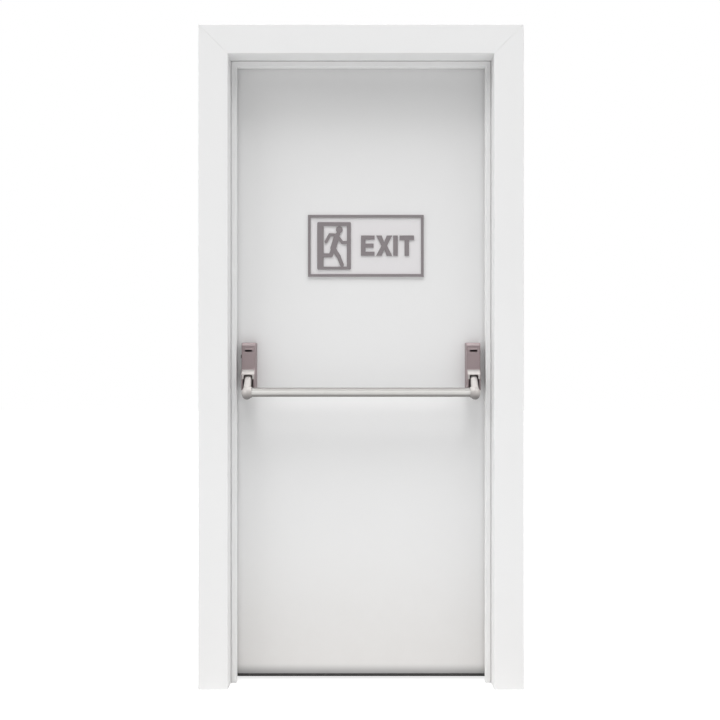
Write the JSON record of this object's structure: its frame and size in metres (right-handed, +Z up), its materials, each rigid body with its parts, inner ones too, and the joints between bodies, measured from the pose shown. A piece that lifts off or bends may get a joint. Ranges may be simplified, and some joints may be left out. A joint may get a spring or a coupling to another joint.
{
  "type": "steel fire door",
  "caption": "Steel fire door closed in its folded frame, with a push bar and a raised exit sign on one face and lift-off hinges on the other.",
  "frame": {"origin": "Middle of the underside of the left floor bracket, which stands on the floor inside the wall. Left is as someone who pushes the door sees it.", "axes": "+Z up, +Y into the wall from the push side to the pull side, +X along the wall to the right as seen from the push side. The doorway's middle is at x 0.476 and the casing's front face at y -0.138."},
  "size_m": [1.1, 0.1935, 2.25],
  "materials": {
    "casing_paint": "satin",
    "leaf_paint": "satin",
    "sign_white": "satin",
    "sign_grey": "satin",
    "housing_grey": "satin",
    "arm_paint": "satin",
    "satin_tube": "satin",
    "hinge_metal": "satin",
    "bare_steel": "satin",
    "galvanised": "matte",
    "black_rubber": "matte",
    "pale_rubber": "matte",
    "dark_strip": "matte",
    "mineral_wool": "matte"
  },
  "bodies": {
    "frame": {"casing_left": "casing_paint", "casing_right": "casing_paint", "casing_head": "casing_paint", "jamb_left": "casing_paint", "jamb_right": "casing_paint", "head_rail": "casing_paint", "smoke_seal_left": "pale_rubber", "smoke_seal_right": "pale_rubber", "smoke_seal_head": "pale_rubber", "strike_plate": "bare_steel", "foot_bracket_left": "galvanised", "foot_bracket_right": "galvanised", "wall_tie_left_1": "galvanised", "wall_tie_left_2": "galvanised", "wall_tie_left_3": "galvanised", "wall_tie_right_1": "galvanised", "wall_tie_right_2": "galvanised", "wall_tie_right_3": "galvanised", "hinge_frame_half_1": "hinge_metal", "hinge_frame_half_2": "hinge_metal", "hinge_frame_half_3": "hinge_metal"},
    "leaf": {"leaf_push_skin": "leaf_paint", "leaf_pull_skin": "leaf_paint", "leaf_core": "mineral_wool", "fire_strip_hinge": "dark_strip", "fire_strip_lock": "dark_strip", "fire_strip_top": "dark_strip", "bottom_seal": "black_rubber", "mortice_lock": "bare_steel", "latch_bolt": "bare_steel", "sign_plate": "sign_white", "sign_border": "sign_grey", "panic_base_left": "housing_grey", "panic_base_right": "housing_grey", "panic_cover_left": "housing_grey", "panic_cover_right": "housing_grey", "pivot_pin_left": "bare_steel", "pivot_pin_right": "bare_steel", "hinge_leaf_half_1": "hinge_metal", "hinge_leaf_half_2": "hinge_metal", "hinge_leaf_half_3": "hinge_metal"},
    "push_bar": {"push_tube": "satin_tube", "arm_left": "arm_paint", "arm_right": "arm_paint"}
  },
  "joints": [
    {"name": "leaf_swing", "type": "hinge", "parent": "frame", "child": "leaf", "pos_m": [0.0295, 0.046, 1.085], "axis": [0, 0, 1], "range_deg": [0, 110], "stiffness_Nm_per_rad": 8, "springref_deg": -20.05},
    {"name": "bar_push", "type": "hinge", "parent": "leaf", "child": "push_bar", "pos_m": [0.476, -0.053, 1.078], "axis": [1, 0, 0], "range_deg": [0, 22], "stiffness_Nm_per_rad": 5, "springref_deg": -34.38}
  ]
}
